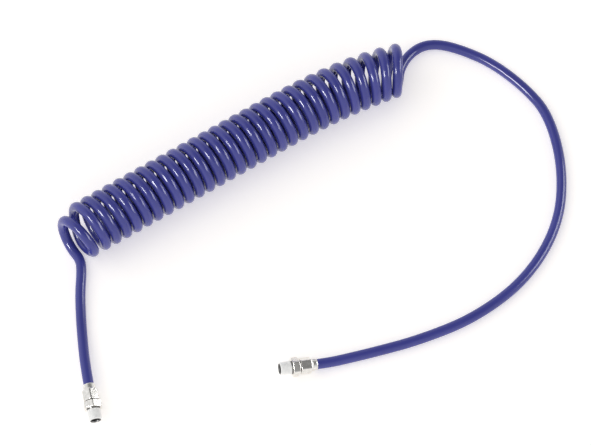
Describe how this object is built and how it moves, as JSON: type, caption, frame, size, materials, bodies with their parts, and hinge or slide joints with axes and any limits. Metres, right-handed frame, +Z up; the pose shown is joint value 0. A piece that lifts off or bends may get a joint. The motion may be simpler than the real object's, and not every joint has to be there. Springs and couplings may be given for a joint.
{
  "type": "coiled air hose",
  "caption": "Self-retracting coiled air hose: a close-wound springy hose with a short and a long straight tail, each ending in a swivel male thread connector.",
  "frame": {"origin": "middle of the floor area that the hose covers, on the floor it lies on", "axes": "+X along the coil's straight stretch, from the short tail towards the long tail; +Z up; the long tail sweeps round on the -Y side"},
  "size_m": [0.5539, 0.2996, 0.0558],
  "materials": {
    "hose_polyurethane": "smooth glossy extruded polyurethane, blue violet",
    "nickel_plate": "bright nickel plating on turned brass, with white sealant coat on the thread",
    "acetal_black": "machined black acetal",
    "seal_rubber": "moulded nitrile rubber",
    "spring_steel": "oiled spring steel"
  },
  "bodies": {
    "coil": {"hose_coil": "hose_polyurethane", "hose_short_tail": "hose_polyurethane", "short_clamp_nut": "nickel_plate", "short_barbed_stem": "nickel_plate", "short_thrust_washer": "acetal_black", "short_front_o_ring": "seal_rubber", "short_rear_o_ring": "seal_rubber", "short_retaining_ring": "spring_steel"},
    "short_connector": {"short_swivel_stud": "nickel_plate"},
    "lead": {"hose_long_tail": "hose_polyurethane", "long_clamp_nut": "nickel_plate", "long_barbed_stem": "nickel_plate", "long_thrust_washer": "acetal_black", "long_front_o_ring": "seal_rubber", "long_rear_o_ring": "seal_rubber", "long_retaining_ring": "spring_steel"},
    "long_connector": {"long_swivel_stud": "nickel_plate"}
  },
  "joints": [
    {"name": "coil_stretch", "type": "slide", "parent": "coil", "child": "lead", "axis": [1, 0, 0], "range_m": [0, 1], "stiffness_N_per_m": 15, "deforming": ["hose_coil"]},
    {"name": "short_swivel", "type": "hinge", "parent": "coil", "child": "short_connector", "pos_m": [-0.26502, -0.03121, 0.0096], "axis": [-0.3371, -0.9415, 0], "continuous": true},
    {"name": "long_swivel", "type": "hinge", "parent": "lead", "child": "long_connector", "pos_m": [-0.0838, -0.10055, 0.01187], "axis": [-0.9226, 0.3249, 0.2079], "continuous": true}
  ]
}
